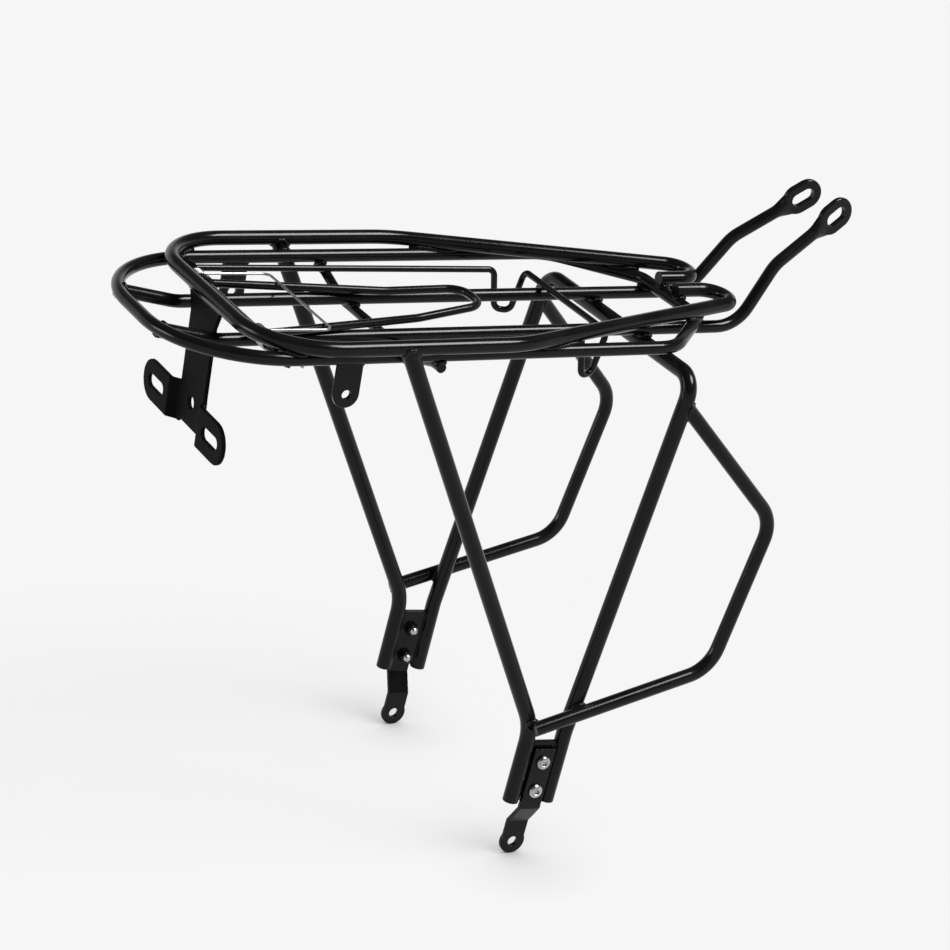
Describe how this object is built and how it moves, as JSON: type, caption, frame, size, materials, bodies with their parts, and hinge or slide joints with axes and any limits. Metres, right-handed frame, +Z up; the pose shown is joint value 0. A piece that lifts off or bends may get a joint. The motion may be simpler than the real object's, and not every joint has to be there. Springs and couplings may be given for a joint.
{
  "type": "bicycle rear luggage rack",
  "caption": "Satin black rod rack for a bicycle's rear wheel, with slotted front stays, bag hoops, bolted feet, lamp plate, sprung clip and hold-down bail.",
  "frame": {"origin": "midway between the two foot eyelets, on the wheel axle's line", "axes": "+X forward along the rack towards the stays, +Y to the left, +Z up"},
  "size_m": [0.4736, 0.2066, 0.4101],
  "materials": {
    "powder_coat": "satin black powder coat",
    "zinc_steel": "bright zinc",
    "spring_steel": "dark spring steel"
  },
  "bodies": {
    "frame": {"deck_loop": "powder_coat", "leg_arch": "powder_coat", "gallery_rail": "powder_coat", "lamp_bracket": "powder_coat", "cross_strut": "powder_coat", "hinge_rod": "powder_coat", "clip_spring": "spring_steel", "stay_rod_right": "powder_coat", "rear_leg_right": "powder_coat", "side_hoop_right": "powder_coat", "foot_gusset_right": "powder_coat", "foot_tab_right": "powder_coat", "rail_tab_right": "powder_coat", "foot_bolt_right_lower": "zinc_steel", "foot_nut_right_lower": "zinc_steel", "foot_bolt_right_upper": "zinc_steel", "foot_nut_right_upper": "zinc_steel", "stay_rod_left": "powder_coat", "rear_leg_left": "powder_coat", "side_hoop_left": "powder_coat", "foot_gusset_left": "powder_coat", "foot_tab_left": "powder_coat", "rail_tab_left": "powder_coat", "foot_bolt_left_lower": "zinc_steel", "foot_nut_left_lower": "zinc_steel", "foot_bolt_left_upper": "zinc_steel", "foot_nut_left_upper": "zinc_steel"},
    "clip": {"spring_clip": "powder_coat"},
    "bail": {"wire_bail": "powder_coat"}
  },
  "joints": [
    {"name": "clip_hinge", "type": "hinge", "parent": "frame", "child": "clip", "pos_m": [-0.203, 0, 0.329], "axis": [0, -1, 0], "range_deg": [0, 70], "stiffness_Nm_per_rad": 0.9, "springref_deg": -51.57, "deforming": ["clip_spring"]},
    {"name": "bail_hinge", "type": "hinge", "parent": "frame", "child": "bail", "pos_m": [-0.203, 0, 0.329], "axis": [0, -1, 0], "range_deg": [0, 75]}
  ]
}
